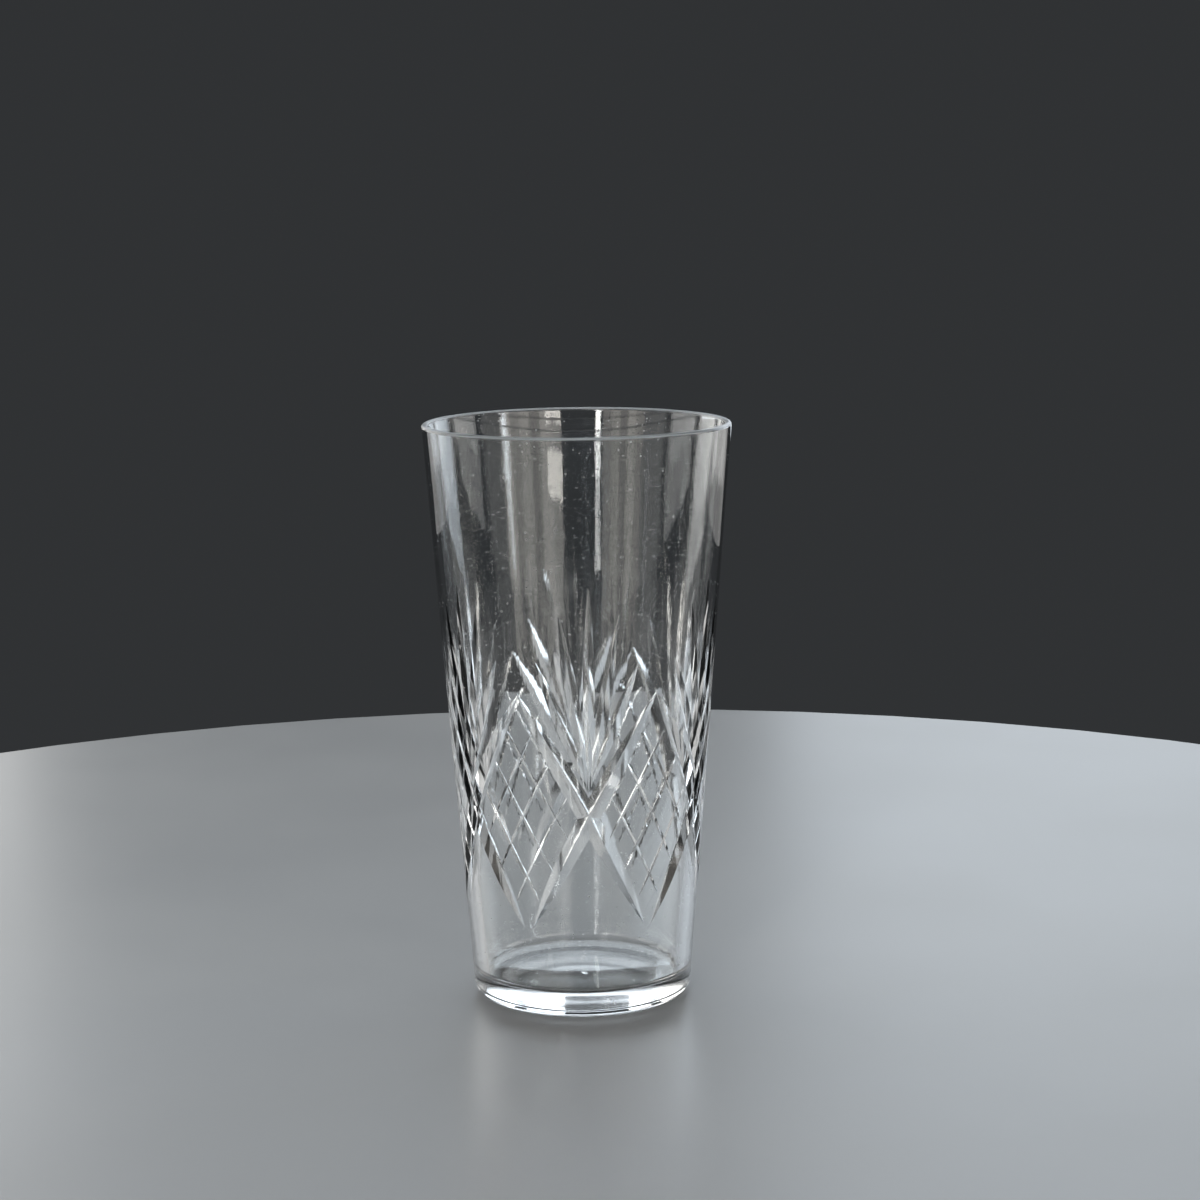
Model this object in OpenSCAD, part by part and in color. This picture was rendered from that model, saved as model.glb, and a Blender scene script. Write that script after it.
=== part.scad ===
// Cut-glass mixing glass. A one-piece vessel: heavy solid bottom, straight wall
// that flares to a thin rounded rim, and a band of wheel-cut decoration.
// Millimetres, +Z up, origin at the centre of the foot on the table.

/* [Body] */
// Height from the table to the top of the rim
height = 166.5; // [150:0.5:185]
// Outer diameter at the rim
rim_d = 88; // [84:0.5:94]
// Outer diameter that the straight wall would have at the table
foot_d = 62.6; // [60:0.2:70]
// Glass thickness just under the rim
rim_wall = 1.8; // [1.6:0.1:2.4]
// Glass thickness where the inner wall meets the bottom's round corner
foot_wall = 4.2; // [4:0.1:5]
// Solid glass under the middle of the inner floor
bottom = 4.8; // [4:0.2:8]
// How much higher the bowl-shaped inner floor is at its corner than in its middle
floor_rise = 2.2; // [1:0.2:4]
// Radius of the round corner between inner floor and inner wall
corner_r = 2.6; // [2:0.2:6]
// Radius of the round outer edge of the foot
heel_r = 4.4; // [3:0.2:5]

/* [Foot] */
// Diameter of the shallow round hollow ground into the underside
hollow_d = 49; // [40:1:50]
// Depth of that hollow in its middle
hollow_depth = 0.8; // [0.4:0.1:1.5]

/* [Mitre cuts] */
// How many times the pattern repeats round the glass
repeats = 6; // [5:1:7]
// Height at which the wide mitre cuts cross
cross_z = 59.5; // [56:0.5:63]
// Height of the mitres' lower tips
tip_low_z = 27; // [24:0.5:30]
// Height of the mitres' upper tips
tip_high_z = 94.5; // [90:0.5:98]
// Depth of a mitre where it crosses its neighbour
mitre_depth = 1.4; // [1:0.1:1.6]
// Angle between the two sides of a mitre or a fan blade
mitre_angle = 130; // [120:1:140]

/* [Lattice] */
// Fine lines each way across a diamond panel
fine_lines = 3; // [1:1:3]
// Depth of a fine line at its middle
fine_depth = 0.3; // [0.2:0.05:0.4]
// Angle between the two sides of a fine line
fine_angle = 110; // [90:5:120]

/* [Fan] */
// Height at which the blades of a fan start
fan_root_z = 67.5; // [67:0.5:72]
// Height of the middle blade's tip
fan_top_z = 125; // [115:0.5:130]
// Depth of a blade at its deepest place
blade_depth = 0.8; // [0.5:0.05:0.9]

/* [Hidden] */
arc_steps = 8;
slope_r = (rim_d - foot_d) / 2 / height;
pitch = 360 / repeats;
corner_z = bottom + floor_rise + corner_r;
// The mitres turn by this many degrees for each millimetre of height
turn_per_mm = pitch / 2 / (tip_high_z - cross_z);
// Where a mitre changes depth: how far up or down from the crossing, as a share of the way to that
// tip, and its share of the full depth there. No change falls on the crossing, which stays one clean X.
mitre_stops = [[-1, 0], [-0.63, 0.6], [-0.23, 0.85], [0.21, 0.85], [0.59, 0.6], [1, 0]];
// Where a fine line changes depth: how far along it is, from 0 on one mitre to 2 on the other, and its
// share of the full depth there. No change falls where fine lines cross.
fine_stops = [[0.14, 0.15], [0.78, 1], [1.22, 1], [1.86, 0.15]];
// Each blade of a fan: turn of its tip as a share of the pitch, how far its tip is below the tallest
// one, and how far its root is above the middle one's
blades = [[-0.35, 21.5, 2.6], [-0.2, 7, 1.2], [0, 0, 0], [0.2, 7, 1.2], [0.35, 21.5, 2.6]];
// Turn of a blade's root as a share of the turn of its tip
root_spread = 0.08;
// The blank's own seam is turned away from every place where cuts meet
seam_turn = 10;
// Each cut runs on this far past its ends, so that a chain of cuts leaves no webs
end_overlap = 0.3;
// Height of the V-shaped cutter
cutter_h = 4;

// Outer radius of the straight wall at a height
function outer_r(z) = foot_d / 2 + slope_r * z;
// Inner radius of the wall at a height
function inner_r(z) = outer_r(z) - rim_wall
    - (foot_wall - rim_wall) * (height - z) / (height - corner_z);
// Points of an arc from angle a0 to a1 about (cx, cz)
function arc(cx, cz, r, a0, a1) =
    [for (i = [0 : arc_steps]) let (a = a0 + (a1 - a0) * i / arc_steps) [cx + r * cos(a), cz + r * sin(a)]];
// A list without its first entry
function tail(points) = [for (i = [1 : len(points) - 1]) points[i]];
// Outward direction square to the wall at a turn angle
function wall_normal(turn) =
    let (n = [cos(turn), sin(turn), -slope_r]) n / norm(n);
// Point at a turn angle and height, this far under the outer surface
function under_wall(turn, z, depth) =
    [outer_r(z) * cos(turn), outer_r(z) * sin(turn), z] - depth * wall_normal(turn);

// Half outline of the plain blank, foot hollow and all
module blank_outline() {
    wall_lean = atan(slope_r);
    heel_x = outer_r(heel_r) - heel_r / cos(wall_lean);
    lip_r = rim_wall / 2;
    lip_x = rim_d / 2 - lip_r;
    lip_z = height - lip_r;
    inner_lean = atan((inner_r(height) - inner_r(corner_z)) / (height - corner_z));
    corner_x = inner_r(corner_z) - corner_r / cos(inner_lean);
    // The floor is part of a sphere that runs smoothly into the round corner
    floor_r = (corner_x ^ 2 + (floor_rise + corner_r) ^ 2 - corner_r ^ 2) / 2 / floor_rise;
    floor_lean = asin(corner_x / (floor_r - corner_r));
    hollow_r = (hollow_d ^ 2 / 4 + hollow_depth ^ 2) / 2 / hollow_depth;
    hollow_lean = asin(hollow_d / 2 / hollow_r);
    polygon(concat(
        arc(0, hollow_depth - hollow_r, hollow_r, 90, 90 - hollow_lean),
        arc(heel_x, heel_r, heel_r, -90, -wall_lean),
        arc(lip_x, lip_z, lip_r, -wall_lean, 180 - inner_lean),
        arc(corner_x, corner_z, corner_r, -inner_lean, floor_lean - 90),
        tail(arc(0, bottom + floor_r, floor_r, floor_lean - 90, -90))
    ));
}

// Straight V-shaped cut whose sharp valley runs from one point to the other
module v_cut(from, to, outward, angle) {
    run = to - from;
    length = norm(run) + 2 * end_overlap;
    w = run / norm(run);
    side = cross(outward, w) / norm(cross(outward, w));
    up = cross(w, side);
    start = from - w * end_overlap;
    half_w = cutter_h * tan(angle / 2);
    multmatrix([
        [side[0], up[0], w[0], start[0]],
        [side[1], up[1], w[1], start[1]],
        [side[2], up[2], w[2], start[2]],
        [0, 0, 0, 1]
    ])
        linear_extrude(length)
            polygon([[0, 0], [half_w, cutter_h], [-half_w, cutter_h]]);
}

// Chain of V cuts through a list of [turn, height, depth]
module cut_path(stops, angle) {
    for (i = [0 : len(stops) - 2]) {
        a = stops[i];
        b = stops[i + 1];
        v_cut(under_wall(a[0], a[1], a[2]), under_wall(b[0], b[1], b[2]),
            wall_normal((a[0] + b[0]) / 2), angle);
    }
}

// One wide mitre, leaning to one side or the other
module mitre(lean) {
    stops = [for (m = mitre_stops)
        let (rise = m[0] * (m[0] < 0 ? cross_z - tip_low_z : tip_high_z - cross_z))
        [lean * turn_per_mm * rise, cross_z + rise, mitre_depth * m[1]]];
    cut_path(stops, mitre_angle);
}

// Fine lines across the diamond between this crossing and the next one
module fine_set(lean) {
    for (k = [1 : fine_lines]) {
        start = 2 * k / (fine_lines + 1);
        stops = [for (f = fine_stops)
            let (across = (f[0] + start) / 2)
            let (up = lean * (f[0] - start) / 2)
            [pitch / 2 * across, cross_z + up * (tip_high_z - cross_z), fine_depth * f[1]]];
        cut_path(stops, fine_angle);
    }
}

// Fan of long narrow blades that springs from above a crossing
module fan() {
    for (b = blades) {
        tip_turn = b[0] * pitch;
        tip_z = fan_top_z - b[1];
        root_turn = tip_turn * root_spread;
        root_z = fan_root_z + b[2];
        cut_path([
            [root_turn, root_z, 0],
            [(root_turn + tip_turn) / 2, (root_z + tip_z) / 2, blade_depth],
            [tip_turn, tip_z, 0]],
            mitre_angle);
    }
}

module mixing_glass() {
    color([0.86, 0.9, 0.9, 0.6])
        difference() {
            rotate([0, 0, seam_turn])
                rotate_extrude($fn = 180) blank_outline();
            for (i = [0 : repeats - 1])
                rotate([0, 0, i * pitch - 90]) {
                    mitre(1);
                    mitre(-1);
                    fine_set(1);
                    fine_set(-1);
                    fan();
                }
        }
}

mixing_glass();
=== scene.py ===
# %% [markdown]
# # A cut-crystal mixing glass
# This lesson builds one glass: a heavy straight-sided vessel that flares to a thin rim, with a band of
# wheel-cut decoration round it. The real one starts as a plain blank. A cutter then presses it against
# wheels with a V-shaped edge, and each pass leaves a groove with two flat sides, which are polished later.
# We work in the same order: turn the blank, run the wheels over it, polish it, and light it.
# The engineering model gives the frame: its box says how tall and how wide our glass may be.

import math
import random

import bmesh
import bpy
from mathutils import Matrix, Vector


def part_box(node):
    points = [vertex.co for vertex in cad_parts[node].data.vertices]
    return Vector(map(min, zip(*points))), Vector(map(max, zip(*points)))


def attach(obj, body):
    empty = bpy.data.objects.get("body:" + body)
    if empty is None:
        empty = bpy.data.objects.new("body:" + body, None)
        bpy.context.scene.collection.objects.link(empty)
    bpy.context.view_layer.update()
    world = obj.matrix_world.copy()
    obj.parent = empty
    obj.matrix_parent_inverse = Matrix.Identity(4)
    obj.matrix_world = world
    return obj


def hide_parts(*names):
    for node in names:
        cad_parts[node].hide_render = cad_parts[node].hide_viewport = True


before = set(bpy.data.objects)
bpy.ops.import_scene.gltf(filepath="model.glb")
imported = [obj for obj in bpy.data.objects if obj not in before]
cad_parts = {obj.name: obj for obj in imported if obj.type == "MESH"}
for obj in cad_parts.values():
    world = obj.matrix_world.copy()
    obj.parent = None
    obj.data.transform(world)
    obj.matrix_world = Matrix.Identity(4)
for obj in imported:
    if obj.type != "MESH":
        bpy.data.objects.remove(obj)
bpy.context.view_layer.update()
low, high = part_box("mixing_glass")
MM = 0.001

# %% [markdown]
# ## Driving sizes
# A few sizes drive everything. Height and rim radius come from the frame. The wall gets thicker towards
# the bottom, as it does on real crystal, so that the deepest cuts still leave glass behind them.

# %% Sizes of the blank
HEIGHT = high[2] - low[2]
RIM_R = min(-low[0], -low[1], high[0], high[1])
FOOT_R = 31.3 * MM
RIM_WALL = 1.8 * MM
FOOT_WALL = 4.2 * MM
BOTTOM = 4.8 * MM
FLOOR_RISE = 2.2 * MM
CORNER_R = 2.6 * MM
CORNER_Z = BOTTOM + FLOOR_RISE + CORNER_R
HEEL_R = 4.4 * MM
HOLLOW_R = 24.5 * MM
HOLLOW_DEPTH = 0.8 * MM
FLARE = (RIM_R - FOOT_R) / HEIGHT
print("height", round(HEIGHT / MM, 1), "rim radius", round(RIM_R / MM, 2))

# %% Sizes that the whole cut pattern shares
REPEATS = 6
PITCH = math.tau / REPEATS
CROSS_Z = 59.5 * MM
TIP_LOW_Z = 27 * MM
TIP_HIGH_Z = 94.5 * MM
# How far the wide cuts turn, in radians for each metre of height, so that they meet half a pitch away
TURN_PER_M = PITCH / 2 / (TIP_HIGH_Z - CROSS_Z)
print("repeats", REPEATS, "pitch in degrees", round(math.degrees(PITCH)))

# %% [markdown]
# ## The blank
# A blown blank is round, so it is one outline turned about its axis. The outline below is half of a slice:
# from the shallow hollow ground into the foot, round the heel, up the wall, over the fire-polished lip,
# down inside, round the corner, and over the bowl-shaped inner floor. The hollow and the floor are each
# part of a big sphere. Only the round stretches need many points.


# %% Radius of the wall at a height
def outer_r(z):
    return FOOT_R + FLARE * z


def inner_r(z):
    below = (HEIGHT - z) / (HEIGHT - CORNER_Z)
    return outer_r(z) - RIM_WALL - (FOOT_WALL - RIM_WALL) * below


print("inner radius at rim and corner", [round(inner_r(z) / MM, 2) for z in (HEIGHT, CORNER_Z)])

# %% Leans, in radians, and the centres of the round stretches
OUTER_LEAN = math.atan(FLARE)
INNER_LEAN = math.atan((inner_r(HEIGHT) - inner_r(CORNER_Z)) / (HEIGHT - CORNER_Z))
HEEL_X = outer_r(HEEL_R) - HEEL_R / math.cos(OUTER_LEAN)
LIP_R = RIM_WALL / 2
LIP_X = RIM_R - LIP_R
LIP_Z = HEIGHT - LIP_R
CORNER_X = inner_r(CORNER_Z) - CORNER_R / math.cos(INNER_LEAN)
# The floor's sphere runs smoothly into the corner, and the hollow's sphere meets the table at its edge
FLOOR_R = (CORNER_X**2 + (FLOOR_RISE + CORNER_R)**2 - CORNER_R**2) / 2 / FLOOR_RISE
FLOOR_LEAN = math.asin(CORNER_X / (FLOOR_R - CORNER_R))
HOLLOW_SPHERE_R = (HOLLOW_R**2 + HOLLOW_DEPTH**2) / 2 / HOLLOW_DEPTH
HOLLOW_LEAN = math.asin(HOLLOW_R / HOLLOW_SPHERE_R)
print("sphere radius of floor and hollow", round(FLOOR_R / MM), round(HOLLOW_SPHERE_R / MM))


# %% Draw the outline
def arc(x, z, radius, start, stop, steps):
    """Points on an arc, with the angles in degrees."""
    angles = [math.radians(start + (stop - start) * i / steps) for i in range(steps + 1)]
    return [(x + radius * math.cos(a), z + radius * math.sin(a)) for a in angles]


FLAT_STEPS = 16
HEEL_STEPS = 16
LIP_STEPS = 18
CORNER_STEPS = 14
out_deg = math.degrees(OUTER_LEAN)
in_deg = math.degrees(INNER_LEAN)
floor_deg = math.degrees(FLOOR_LEAN)
hollow_deg = math.degrees(HOLLOW_LEAN)
outline = arc(0, HOLLOW_DEPTH - HOLLOW_SPHERE_R, HOLLOW_SPHERE_R, 90, 90 - hollow_deg, FLAT_STEPS)
outline += arc(HEEL_X, HEEL_R, HEEL_R, -90, -out_deg, HEEL_STEPS)
outline += arc(LIP_X, LIP_Z, LIP_R, -out_deg, 180 - in_deg, LIP_STEPS)
outline += arc(CORNER_X, CORNER_Z, CORNER_R, -in_deg, floor_deg - 90, CORNER_STEPS)
outline += arc(0, BOTTOM + FLOOR_R, FLOOR_R, floor_deg - 90, -90, FLAT_STEPS)[1:]
print("points in the outline", len(outline))

# %% Turn the blank
TURN_STEPS = 360
# Points closer together than this, in metres, are one point
WELD = 1e-7


def turned(points, steps):
    """Turns half an outline about the vertical axis into one closed mesh."""
    bm = bmesh.new()
    verts = [bm.verts.new((x, 0, z)) for x, z in points]
    edges = [bm.edges.new(pair) for pair in zip(verts, verts[1:])]
    bmesh.ops.spin(bm, geom=verts + edges, cent=(0, 0, 0), axis=(0, 0, 1), angle=math.tau,
                   steps=steps, use_merge=True, use_duplicate=False)
    bmesh.ops.remove_doubles(bm, verts=bm.verts, dist=WELD)
    bmesh.ops.dissolve_degenerate(bm, edges=bm.edges, dist=WELD)
    bmesh.ops.recalc_face_normals(bm, faces=bm.faces)
    return bm


def finished(bm, name, cut_value=0.0):
    """Puts a bmesh into a new object at the origin. Its faces remember whether a wheel made them."""
    mark = bm.faces.layers.float.new("cut")
    for face in bm.faces:
        face[mark] = cut_value
    mesh = bpy.data.meshes.new(name)
    bm.to_mesh(mesh)
    bm.free()
    piece = bpy.data.objects.new(name, mesh)
    bpy.context.scene.collection.objects.link(piece)
    return piece


blank_bm = turned(outline, TURN_STEPS)
print("blank volume ml of glass", round(blank_bm.calc_volume() * 1e6, 1))
glass = finished(blank_bm, "cut_mixing_glass")

# %% [markdown]
# ## The wheels
# A cutting wheel has a V-shaped edge. While the wheel turns, the cutter rolls the glass over it, so the
# bottom of the groove follows the wall, and the groove swells and runs out to a point where the glass is
# lifted away. Each cutter below is what the wheel sweeps out: a triangle carried along that path, with
# its sharp edge at the bottom of the groove. Hands aren't machines, so each pass wanders a little.

# %% Places on the wall
random.seed(11)


def wander(size):
    return random.uniform(-size, size)


def wall_normal(turn):
    """Straight out of the wall. Turn 0 is the front of the glass, on -Y."""
    return Vector((math.sin(turn), -math.cos(turn), -FLARE)).normalized()


def under_wall(turn, z, depth):
    radius = outer_r(z)
    place = Vector((radius * math.sin(turn), -radius * math.cos(turn), z))
    return place - depth * wall_normal(turn)


print("front crossing", [round(v / MM, 1) for v in under_wall(0, CROSS_Z, 0)])

# %% Sweep a wheel
# How far a cutter stands out of the wall, so that it cuts cleanly through the surface
CUTTER_H = 1.1 * MM


def swept(bm, path, depth, angle, steps, tilt):
    """Carries a V section along path(t) -> (turn, z, share of the depth), for t from 0 to 1."""
    def station(t):
        turn, z, share = path(t)
        here = under_wall(turn, z, share * depth)
        nearby = 1e-3
        a, b = path(max(t - nearby, 0)), path(min(t + nearby, 1))
        ahead = (under_wall(b[0], b[1], b[2] * depth) - under_wall(a[0], a[1], a[2] * depth)).normalized()
        side = wall_normal(turn).cross(ahead).normalized()
        up = ahead.cross(side)
        axes = Matrix((side, up, ahead)).transposed() @ Matrix.Rotation(tilt, 3, "Z")
        return Matrix.Translation(here) @ axes.to_4x4()

    tall = depth + CUTTER_H
    wide = tall * math.tan(angle / 2)
    at = station(0)
    verts = [bm.verts.new(at @ Vector(p)) for p in ((0, 0, 0), (wide, tall, 0), (-wide, tall, 0))]
    cap = bm.faces.new(verts)
    for i in range(1, steps + 1):
        # The very first triangle stays behind as the near cap, and the last one is the far cap
        made = bmesh.ops.extrude_face_region(bm, geom=[cap, *cap.edges, *cap.verts], use_keep_orig=i == 1)
        moved = [part for part in made["geom"] if isinstance(part, bmesh.types.BMVert)]
        cap = next(part for part in made["geom"] if isinstance(part, bmesh.types.BMFace))
        after = station(i / steps)
        bmesh.ops.transform(bm, matrix=after @ at.inverted(), verts=moved)
        at = after


def swell(t, power=2.0):
    """Share of the full depth along a cut: none at its ends, all of it in the middle. A higher power
    keeps it level for longer."""
    return 1 - abs(2 * t - 1) ** power


print("a cut has", round(swell(0.1), 2), "of its depth a tenth of the way along")

# %% [markdown]
# ### Taking the glass away
# A Boolean modifier takes each set of cutters out of the glass, because only a true cut has flat sides that
# meet in crisp edges. Every face of a cutter carries the mark "cut" with the value 1. The Manifold solver
# hands that mark on to the groove, so that the normals and the finish can tell later where a wheel went.


# %% Cut one set
def cut(body, passes, name):
    """Takes one set of cuts, none of which meets another of its set, out of the glass."""
    bm = bmesh.new()
    for one in passes:
        swept(bm, **one)
    bmesh.ops.recalc_face_normals(bm, faces=bm.faces)
    cutter = finished(bm, name, 1.0)
    tool = body.modifiers.new(name, "BOOLEAN")
    tool.operation = "DIFFERENCE"
    tool.solver = "MANIFOLD"
    tool.object = cutter
    done = bpy.data.meshes.new_from_object(body.evaluated_get(bpy.context.evaluated_depsgraph_get()))
    body.modifiers.clear()
    spare = body.data
    body.data = done
    bpy.data.meshes.remove(spare)
    bpy.data.objects.remove(cutter)
    print(name, len(passes), "cuts,", len(done.polygons), "faces")


# %% [markdown]
# ### Wide mitres
# Twelve wide grooves cross in pairs at the waist of the pattern and frame six tall diamonds. Each one runs
# from a low tip, up through a crossing, to a high tip, where it meets the one from the next crossing.

# %% Mitres
MITRE_DEPTH = 1.4 * MM
MITRE_ANGLE = math.radians(130)
MITRE_SWELL = 2.4
MITRE_STEPS = 40
# How far any wide cut may slip round the glass, in radians. What else wanders is small too: heights in
# metres, tilt in radians, slant and depth as shares of themselves.
TURN_SLIP = 0.004


def mitre(repeat, lean):
    middle = repeat * PITCH + wander(TURN_SLIP)
    foot = TIP_LOW_Z + wander(0.5 * MM)
    head = TIP_HIGH_Z + wander(0.5 * MM)
    slant = TURN_PER_M * (1 + wander(0.012))

    def path(t):
        z = foot + (head - foot) * t
        return middle + lean * slant * (z - CROSS_Z), z, swell(t, MITRE_SWELL)

    return {"path": path, "depth": MITRE_DEPTH * (1 + wander(0.04)), "angle": MITRE_ANGLE,
            "steps": MITRE_STEPS, "tilt": wander(0.02)}


for lean, side in ((1, "right"), (-1, "left")):
    cut(glass, [mitre(r, lean) for r in range(REPEATS)], "mitres_" + side)

# %% [markdown]
# ### Fine lattice
# Three fine lines each way fill every diamond. They are cut with a narrower wheel, and they stop as they
# run into the mitres.

# %% Fine lines
FINE_LINES = 3
FINE_DEPTH = 0.36 * MM
FINE_ANGLE = math.radians(104)
FINE_STEPS = 20
# Where a line starts and ends on its way from one mitre, at 0, to the other, at 2
FINE_ENDS = (0.12, 1.88)
# A fine line starts abruptly, with this share of its depth, and then stays nearly level
FINE_START = 0.25
FINE_SWELL = 4


def fine_line(repeat, lean, row):
    start = 2 * row / (FINE_LINES + 1) + wander(0.012)
    ends = [FINE_ENDS[0] + wander(0.04), FINE_ENDS[1] + wander(0.04)]

    def path(t):
        along = ends[0] + (ends[1] - ends[0]) * t
        turn = repeat * PITCH + PITCH / 2 * (along + start) / 2
        z = CROSS_Z + lean * (TIP_HIGH_Z - CROSS_Z) * (along - start) / 2
        return turn, z, FINE_START + (1 - FINE_START) * swell(t, FINE_SWELL)

    return {"path": path, "depth": FINE_DEPTH * (1 + wander(0.15)), "angle": FINE_ANGLE,
            "steps": FINE_STEPS, "tilt": wander(0.05)}


for lean, side in ((1, "right"), (-1, "left")):
    rows = range(1, FINE_LINES + 1)
    cut(glass, [fine_line(r, lean, k) for r in range(REPEATS) for k in rows], "fine_" + side)

# %% [markdown]
# ### Fans
# Above each crossing five long blades spread like a fan. Neighbouring blades touch, so each place in the
# fan is cut as a set of its own, once round the glass.

# %% Blades
FAN_ROOT_Z = 67.5 * MM
FAN_TOP_Z = 125 * MM
BLADE_DEPTH = 0.8 * MM
BLADE_STEPS = 28
# Turn of the tip as a share of the pitch, and in millimetres the drop of the tip and the rise of the root
BLADES = ((-0.35, 21.5, 2.6), (-0.2, 7, 1.2), (0, 0, 0), (0.2, 7, 1.2), (0.35, 21.5, 2.6))
# Turn of a blade's root as a share of the turn of its tip
ROOT_SPREAD = 0.08


def blade(repeat, share, drop, rise):
    middle = repeat * PITCH + wander(TURN_SLIP)
    tip = share * PITCH + wander(2 * TURN_SLIP)
    foot = FAN_ROOT_Z + rise * MM
    head = FAN_TOP_Z - drop * MM + wander(0.8 * MM)

    def path(t):
        return middle + tip * (ROOT_SPREAD + (1 - ROOT_SPREAD) * t), foot + (head - foot) * t, swell(t)

    return {"path": path, "depth": BLADE_DEPTH * (1 + wander(0.06)), "angle": MITRE_ANGLE,
            "steps": BLADE_STEPS, "tilt": wander(0.03)}


for share, drop, rise in BLADES:
    cut(glass, [blade(r, share, drop, rise) for r in range(REPEATS)], "blades")

# %% [markdown]
# ## Smooth and sharp
# A facetted wall would show as stripes in every reflection, so the plain surfaces get their exact normals
# from the outline they were turned from. The sides of the cuts are smoothed along their length only, and
# every edge where a wheel went in stays sharp, which is what makes cut glass sparkle.

# %% Normals of the plain surfaces
# A point this close to a boundary, as a share of the boundary's own radius or height, is on it
ON_EDGE = 0.999


def blank_normal(place, face_normal):
    """Exact normal of the uncut blank at a point, which lies on one of its round or straight stretches."""
    x = math.hypot(place.x, place.y)
    z = place.z
    outside = face_normal.x * place.x + face_normal.y * place.y > 0
    if z > LIP_Z:
        across, up = x - LIP_X, z - LIP_Z
    elif outside and z > HEEL_R * (1 - math.sin(OUTER_LEAN)):
        across, up = math.cos(OUTER_LEAN), -math.sin(OUTER_LEAN)
    elif x > HEEL_X and z < HEEL_R:
        across, up = x - HEEL_X, z - HEEL_R
    elif z > CORNER_Z - CORNER_R * math.sin(INNER_LEAN):
        across, up = -math.cos(INNER_LEAN), math.sin(INNER_LEAN)
    elif x > FLOOR_R * math.sin(FLOOR_LEAN) * ON_EDGE and z > HOLLOW_DEPTH:
        across, up = CORNER_X - x, CORNER_Z - z
    elif z > BOTTOM * ON_EDGE:
        across, up = -x, BOTTOM + FLOOR_R - z
    elif x < HOLLOW_R * ON_EDGE:
        across, up = -x, HOLLOW_DEPTH - HOLLOW_SPHERE_R - z
    else:
        # On the flat ring under the foot a zero vector leaves the normal to Blender
        return Vector((0, 0, 0))
    round_out = Vector((place.x, place.y, 0)).normalized()
    return (round_out * across + Vector((0, 0, up))).normalized()


print("normal at the top of the lip", blank_normal(Vector((LIP_X, 0, HEIGHT)), Vector((0, 0, 1))))

# %% Mark the sharp edges
SHARP = math.radians(11)
# The cuts leave some edges shorter than this, in metres, and they are closed up
SLIVER = 5e-7
bm = bmesh.new()
bm.from_mesh(glass.data)
bmesh.ops.remove_doubles(bm, verts=bm.verts, dist=WELD)
bmesh.ops.dissolve_degenerate(bm, edges=bm.edges, dist=SLIVER)
mark = bm.faces.layers.float.get("cut")
for face in bm.faces:
    face.smooth = True
for edge in bm.edges:
    faces = edge.link_faces
    same_kind = len(faces) == 2 and faces[0][mark] == faces[1][mark]
    edge.smooth = same_kind and edge.calc_face_angle(math.pi) < SHARP
print("open edges", sum(not edge.is_manifold for edge in bm.edges), "faces", len(bm.faces))
bm.to_mesh(glass.data)
bm.free()

# %% Set the normals
mesh = glass.data
is_cut = [item.value > 0.5 for item in mesh.attributes["cut"].data]
normals = [Vector((0, 0, 0))] * len(mesh.loops)
for face in mesh.polygons:
    if not is_cut[face.index]:
        for loop in face.loop_indices:
            place = mesh.vertices[mesh.loops[loop].vertex_index].co
            normals[loop] = blank_normal(place, face.normal)
mesh.normals_split_custom_set(normals)
print("triangles", sum(len(face.vertices) - 2 for face in mesh.polygons), "cut faces", sum(is_cut))

# %% [markdown]
# ## Crystal
# Crystal is clear right through, so its colour barely matters. What the eye reads is its surface: a little
# vertical waviness left by blowing, faint wiping marks, polished cuts that keep the wheel's fine grain,
# a lip worn dull by strainers and shaker tins, and a scuffed underside. Each of those goes into roughness
# and bump, in object coordinates. Sums and products of them are written as ordinary arithmetic, with one
# small class that turns each step into a Math node.


# %% Shader arithmetic
class Wire:
    """A value on its way through a material. Arithmetic on it adds Math nodes."""

    def __init__(self, finish, socket):
        self.finish = finish
        self.socket = socket

    def math(self, operation, *values, clamp=False):
        settings = {"operation": operation, "use_clamp": clamp}
        return self.finish.node("ShaderNodeMath", settings, dict(enumerate(values)))

    def __add__(self, other):
        return self.math("ADD", self, other)

    def __sub__(self, other):
        return self.math("SUBTRACT", self, other)

    def __rsub__(self, other):
        return self.math("SUBTRACT", other, self)

    def __mul__(self, other):
        return self.math("MULTIPLY", self, other)

    def between(self, start, stop):
        """0 below start, 1 above stop, and a straight rise between them."""
        return self.math("MULTIPLY_ADD", self, 1 / (stop - start), -start / (stop - start), clamp=True)

    __radd__ = __add__
    __rmul__ = __mul__


# %% A finish and its nodes
class Finish:
    """A material, and the one way in which its nodes are made."""

    def __init__(self, name):
        self.material = bpy.data.materials.new(name)
        self.material.use_nodes = True
        self.tree = self.material.node_tree
        self.tree.nodes.clear()

    def node(self, kind, settings=None, sockets=None, out=0):
        made = self.tree.nodes.new(kind)
        for name, value in (settings or {}).items():
            setattr(made, name, value)
        for name, value in (sockets or {}).items():
            if isinstance(value, Wire):
                self.tree.links.new(value.socket, made.inputs[name])
            else:
                made.inputs[name].default_value = value
        return Wire(self, made.outputs[out]) if len(made.outputs) else made

    def noise(self, where, scale, detail=3, roughness=0.5):
        """Noise from 0 to 1. A scale of 1000 gives blobs about a millimetre across."""
        sockets = {"Vector": where, "Scale": scale, "Detail": detail, "Roughness": roughness}
        return self.node("ShaderNodeTexNoise", {}, sockets)

    def stretched(self, where, scale):
        return self.node("ShaderNodeMapping", {}, {"Vector": where, "Scale": scale})

    def output(self, shader):
        self.node("ShaderNodeOutputMaterial", {}, {"Surface": shader})
        print(self.material.name, "has", len(self.tree.nodes), "nodes")
        return self.material


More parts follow.
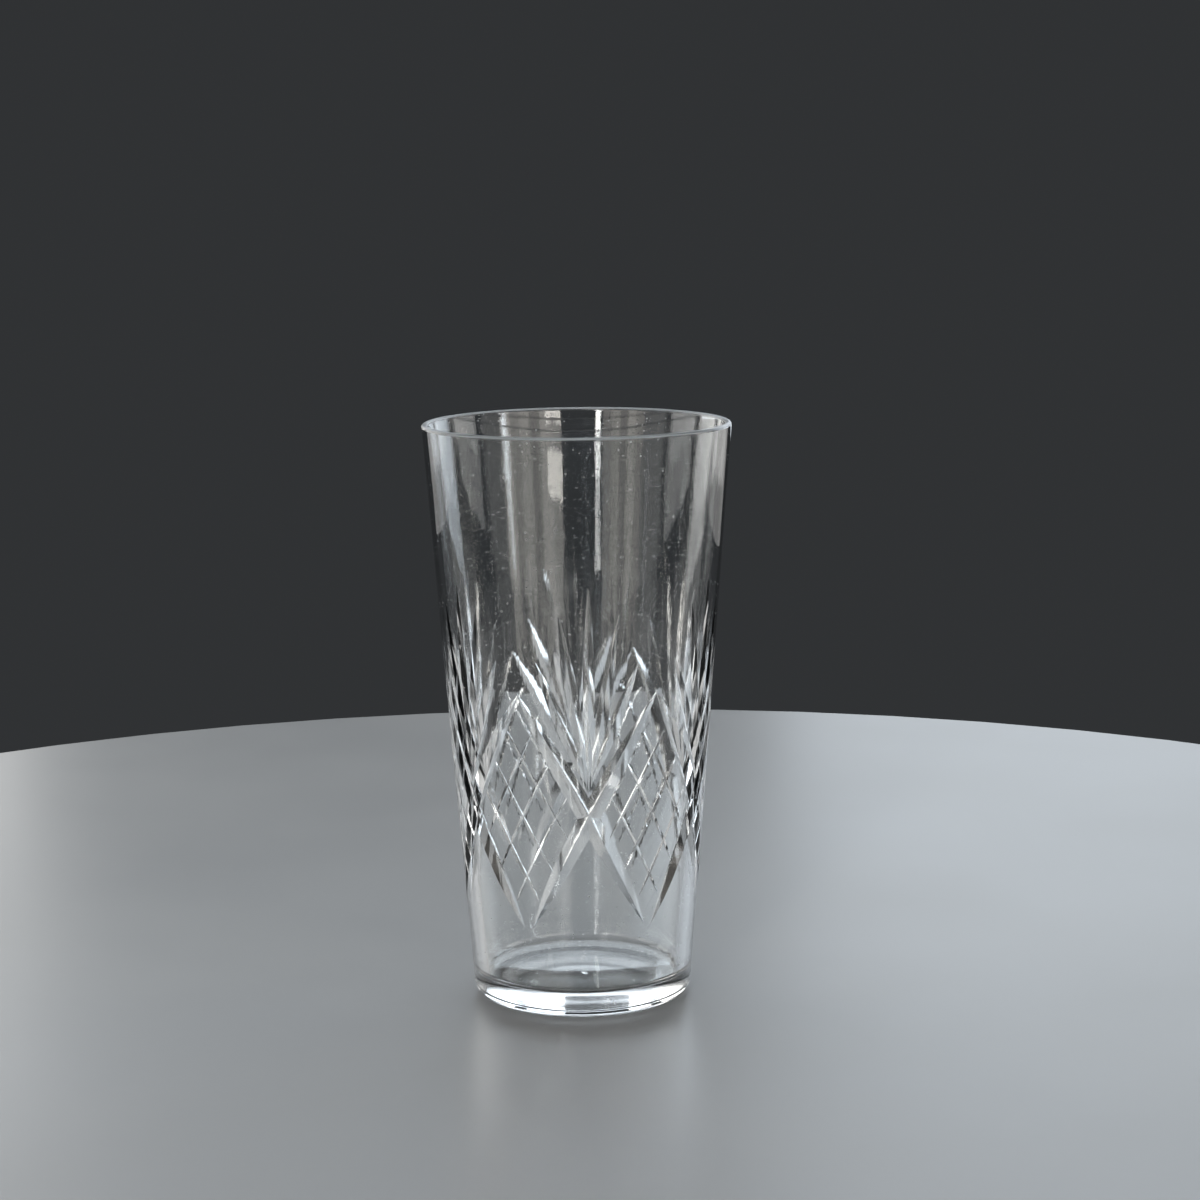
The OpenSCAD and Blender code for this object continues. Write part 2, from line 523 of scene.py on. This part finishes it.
# %% Crystal
# Roughness of each thing that is on the surface, from 0 for a mirror
WALL_ROUGH = 0.006
SMUDGE_ROUGH = 0.03
WIPE_ROUGH = 0.1
DUST_ROUGH = 0.5
CUT_ROUGH = 0.05
GRAIN_ROUGH = 0.08
FOOT_ROUGH = 0.25
LIP_ROUGH = 0.3
# Height of its relief
WAVE_RELIEF = 0.05 * MM
WIPE_RELIEF = 0.01 * MM
GRAIN_RELIEF = 0.003 * MM
SCUFF_RELIEF = 0.02 * MM
# Lead crystal bends light a little more than window glass
CRYSTAL_IOR = 1.54


def crystal():
    finish = Finish("lead_crystal")
    where = finish.node("ShaderNodeTexCoord", {}, {}, "Object")
    height = finish.node("ShaderNodeSeparateXYZ", {}, {"Vector": where}, "Z")
    cut_mask = finish.node("ShaderNodeAttribute", {"attribute_name": "cut"}, {}, "Fac")
    # Masks: the underside with the start of the heel, and the round top of the lip
    foot = 1 - height.between(0.1 * MM, 1.2 * MM)
    lip = height.between(LIP_Z - 0.2 * LIP_R, LIP_Z + 0.4 * LIP_R)
    # Patterns: two drawn out along the height, and three that are as tall as they are wide
    waves = finish.noise(finish.stretched(where, (110, 110, 5)), 1, 2)
    streaks = finish.noise(finish.stretched(where, (900, 900, 16)), 1, 3, 0.6)
    smudges = finish.noise(where, 45, 4, 0.6).between(0.52, 0.75)
    grain = finish.noise(where, 2600, 2, 0.7)
    dust = finish.noise(where, 1500, 0).between(0.83, 0.86)
    wipes = streaks.between(0.55, 0.8)
    wall_rough = WALL_ROUGH + SMUDGE_ROUGH * smudges + WIPE_ROUGH * wipes + DUST_ROUGH * dust
    cut_rough = CUT_ROUGH + GRAIN_ROUGH * grain
    rough = wall_rough * (1 - cut_mask) + cut_rough * cut_mask + FOOT_ROUGH * foot + LIP_ROUGH * lip
    relief = waves * WAVE_RELIEF * (1 - cut_mask) + streaks * WIPE_RELIEF
    relief = relief + grain * GRAIN_RELIEF * cut_mask + grain * SCUFF_RELIEF * foot
    normal = finish.node("ShaderNodeBump", {}, {"Strength": 1.0, "Distance": 1.0, "Height": relief})
    shader = finish.node("ShaderNodeBsdfPrincipled", {}, {
        "Base Color": (0.975, 0.985, 0.985, 1), "Roughness": rough, "IOR": CRYSTAL_IOR,
        "Transmission Weight": 1.0, "Normal": normal})
    return finish.output(shader)


# %% Put the finish on the glass
mesh.materials.clear()
mesh.materials.append(crystal())
for face in mesh.polygons:
    face.material_index = 0
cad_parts["mixing_glass"].data.materials.clear()
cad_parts["mixing_glass"].data.materials.append(mesh.materials[0])
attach(glass, "root")
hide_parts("mixing_glass")

# %% [markdown]
# ## Table
# Clear glass shows what is around it, the table most of all, because the lower half is seen against it.
# It is a plain pale disc with a soft sheen, turned in the same way as the blank. The room past its edge is
# dim, so that the upper wall reads against a dark ground.

# %% Table
TABLE_R = 0.41
TABLE_THICK = 0.05
TABLE_STEPS = 64
TABLE_IOR = 1.4


def table():
    outline = [(0, -TABLE_THICK), (TABLE_R, -TABLE_THICK), (TABLE_R, 0), (0, 0)]
    piece = finished(turned(outline, TABLE_STEPS), "table")
    finish = Finish("pale_table")
    where = finish.node("ShaderNodeTexCoord", {}, {}, "Object")
    mottle = finish.noise(where, 9, 5, 0.6)
    colour = finish.node("ShaderNodeMix", {"data_type": "RGBA"}, {
        0: mottle, 6: (0.22, 0.222, 0.225, 1), 7: (0.28, 0.28, 0.275, 1)}, 2)
    shader = finish.node("ShaderNodeBsdfPrincipled", {}, {
        "Base Color": colour, "Roughness": 0.28 + 0.12 * mottle, "IOR": TABLE_IOR})
    piece.data.materials.append(finish.output(shader))
    return piece


table()

# %% [markdown]
# ## Light
# Soft panels stand all round, because glass has no look of its own apart from what it mirrors and bends.
# The panels at the sides and behind draw the edges and fill the cuts with light. The ones in front show
# again in the far wall, as windows do in a real room. Each is given as a range of directions and of heights,
# and its brightness is per area, so that a panel can be resized without changing how bright it looks.


# %% Panel helpers
def add_panel(name, size, place, facing, brightness, tint):
    lamp = bpy.data.lights.new(name, "AREA")
    lamp.shape = "RECTANGLE"
    lamp.size, lamp.size_y = size
    lamp.energy = brightness * math.pi * size[0] * size[1]
    lamp.color = tint
    light = bpy.data.objects.new(name, lamp)
    light.location = place
    light.rotation_euler = facing.to_track_quat("-Z", "Y").to_euler()
    light.visible_camera = False
    bpy.context.scene.collection.objects.link(light)


def panel(name, start, stop, distance, bottom, top, brightness, tint):
    """An upright panel between two directions round the glass, in degrees from the front to the right."""
    turn = math.radians((start + stop) / 2)
    width = 2 * distance * math.tan(math.radians(abs(stop - start) / 2))
    out = Vector((math.sin(turn), -math.cos(turn), 0))
    place = out * distance + Vector((0, 0, (bottom + top) / 2))
    add_panel(name, (width, top - bottom), place, -out, brightness, tint)


# Distances from the glass, and the heights of a panel that stands just clear of the table top
NEAR = 1.2
FAR = 1.8
ON_TABLE = 0.005
TALL = 1.0


def room(name, start, stop, levels, tint):
    """Upright panels side by side, each with a brightness of its own, like the far side of a real room."""
    step = (stop - start) / len(levels)
    for i, level in enumerate(levels):
        panel(f"{name}_{i}", start + step * i, start + step * (i + 1), FAR, ON_TABLE, TALL, level, tint)


# %% Panels
DAY = (1.0, 0.99, 0.97)
COOL = (0.84, 0.92, 1.0)
WARM = (1.0, 0.95, 0.88)
# Name, directions from and to, distance, bottom, top, brightness, tint
# Beside and behind: edges, cuts and the pale bands near both sides of the wall
panel("left_side", -86, -114, NEAR, 0.1, 0.9, 2.2, DAY)
panel("left_back", -121, -148, NEAR, ON_TABLE, TALL, 3.0, DAY)
panel("left_low", -99, -148, NEAR, -0.1, ON_TABLE, 0.6, DAY)
panel("right_side", 86, 112, NEAR, 0.1, 0.9, 2.0, DAY)
panel("right_back", 122, 148, NEAR, ON_TABLE, TALL, 3.0, COOL)
panel("right_low", 99, 148, NEAR, -0.1, ON_TABLE, 0.5, DAY)
panel("behind_left", -155, -166, 1.4, ON_TABLE, 0.55, 2.0, DAY)
panel("behind_right", 154, 170, 1.4, ON_TABLE, 0.55, 1.9, COOL)
# In front: a soft veil on the wall, with windows mirrored in it
room("front_right", 9, 60, (1.7, 2.3, 1.2, 2.1, 1.6, 2.9), WARM)
room("front_left", -25, -60, (1.2, 1.9, 1.0, 2.2, 1.4), WARM)
panel("far_right", 60, 78, FAR, ON_TABLE, TALL, 0.5, DAY)
panel("far_left", -60, -80, FAR, ON_TABLE, TALL, 0.65, DAY)
panel("window_strip", -19, -23, 2.0, 0.14, 1.6, 18, DAY)
panel("window_pane", 9, 21, 2.0, 0.213, 0.262, 9, WARM)
panel("cool_strip", 55, 58.5, 1.9, 0.1, 1.4, 6, COOL)
# High up: the sheen on the table and the tops of the cuts
add_panel("back_window", (2.4, 1.2), Vector((0, 1.5, 1.1)), Vector((0, -1, 0)), 2.0, COOL)
add_panel("overhead", (0.8, 0.8), Vector((0, 0.0, 0.95)), Vector((0, 0, -1)), 0.6, COOL)
print("panels", len(bpy.data.lights))

# %% Surround
DIM_ROOM = (0.03, 0.032, 0.034, 1)
world = bpy.data.worlds.new("surround")
bpy.context.scene.world = world
world.use_nodes = True
backdrop = world.node_tree.nodes["Background"]
backdrop.inputs["Color"].default_value = DIM_ROOM
backdrop.inputs["Strength"].default_value = 1.0
bpy.context.scene.view_settings.view_transform = "Standard"
print("the room past the table is", DIM_ROOM[:3])

# %% [markdown]
# ## Camera
# A long lens some 0.85 m away keeps the sides of the glass nearly straight. It looks down by about nine
# degrees, so that the rim opens into a narrow ellipse and the inner floor shows through the wall.

# %% Camera
EYE_PLACE = Vector((-0.0498, -0.8131, 0.2487))
# To the right, up, and leaning over to one side, in degrees
EYE_ANGLES = (3.94, -9.31, -0.60)
camera = bpy.data.cameras.new("camera")
camera.sensor_width = 36
camera.lens = 86.4
camera.clip_start = 0.01
camera.clip_end = 20
yaw, pitch, roll = (math.radians(angle) for angle in EYE_ANGLES)
eye = bpy.data.objects.new("camera", camera)
level_eye = Matrix.Rotation(-yaw, 4, "Z") @ Matrix.Rotation(math.pi / 2 + pitch, 4, "X")
eye.matrix_world = Matrix.Translation(EYE_PLACE) @ level_eye @ Matrix.Rotation(roll, 4, "Z")
bpy.context.scene.collection.objects.link(eye)
bpy.context.scene.camera = eye
print("camera is", round(EYE_PLACE.length, 2), "m from the foot of the glass")
